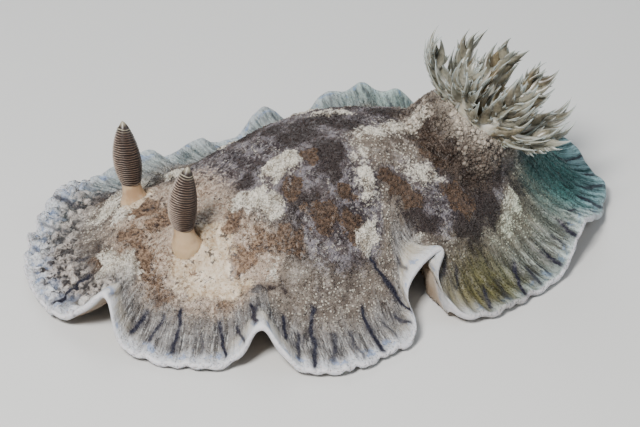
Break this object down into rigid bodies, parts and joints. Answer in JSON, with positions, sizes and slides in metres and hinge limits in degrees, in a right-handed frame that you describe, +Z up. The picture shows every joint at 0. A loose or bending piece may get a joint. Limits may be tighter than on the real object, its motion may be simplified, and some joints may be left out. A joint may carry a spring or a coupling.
{
  "type": "nudibranch sea slug model",
  "caption": "Life-size still model of a broad sea slug with a frilled mantle, ringed rhinophores and a feathery gill crown.",
  "frame": {"origin": "middle of the foot's flat sole, on the floor", "axes": "+X towards the tail, -X towards the head, -Y towards the animal's left side, +Z up"},
  "size_m": [0.1212, 0.0829, 0.0424],
  "materials": {
    "mantle": "mottled cream, brown and grey granular skin, moist satin",
    "skirt": "translucent blue-white frill with dark rays, moist satin",
    "foot": "smooth cream flesh, moist satin",
    "rhinophore": "dark brown club with fine cream lamella edges",
    "stalk": "translucent cream flesh",
    "gill": "translucent greenish cream branching leaves with white tips"
  },
  "bodies": {
    "root": {"back_head": "mantle", "back_middle": "mantle", "back_gill": "mantle", "skirt_tail": "skirt", "skirt_right_rear": "skirt", "skirt_right_middle": "skirt", "skirt_right_front": "skirt", "skirt_head": "skirt", "skirt_left_front": "skirt", "skirt_left_middle": "skirt", "skirt_left_rear": "skirt", "foot": "foot", "foot_tail": "foot", "head": "foot", "oral_lobe_left": "foot", "oral_lobe_right": "foot", "rhinophore_stalk_left": "stalk", "rhinophore_left": "rhinophore", "rhinophore_stalk_right": "stalk", "rhinophore_right": "rhinophore", "gill_disc": "gill", "anal_papilla": "gill", "gill_plume_1": "gill", "gill_plume_2": "gill", "gill_plume_3": "gill", "gill_plume_4": "gill", "gill_plume_5": "gill", "gill_plume_6": "gill", "gill_plume_7": "gill", "gill_plume_8": "gill"}
  },
  "joints": []
}
